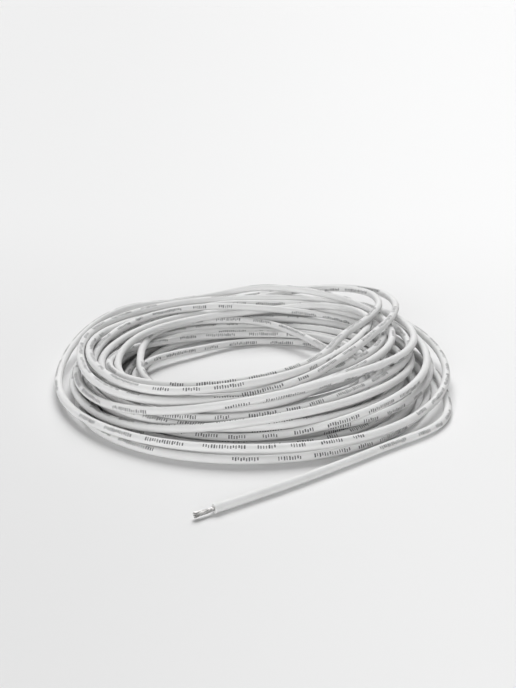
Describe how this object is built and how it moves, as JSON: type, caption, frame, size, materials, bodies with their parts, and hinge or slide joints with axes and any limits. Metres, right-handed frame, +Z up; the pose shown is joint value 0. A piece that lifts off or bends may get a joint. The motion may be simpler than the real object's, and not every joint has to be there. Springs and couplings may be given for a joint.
{
  "type": "coil of automotive hook-up wire",
  "caption": "Loose round coil of white stranded hook-up wire lying flat, with its free end laid out in front and stripped to bare strands.",
  "frame": {"origin": "middle of the coil's eye, on the surface that the coil lies on", "axes": "+Z up out of that surface, -Y towards the laid-out free end"},
  "size_m": [0.1493, 0.1742, 0.0213],
  "materials": {
    "insulation": "smooth satin white, extruded",
    "conductor": "tinned copper strands, dull silver"
  },
  "bodies": {
    "root": {"wire_coil": "insulation", "wire_tail": "insulation", "conductor_strands": "conductor"}
  },
  "joints": []
}
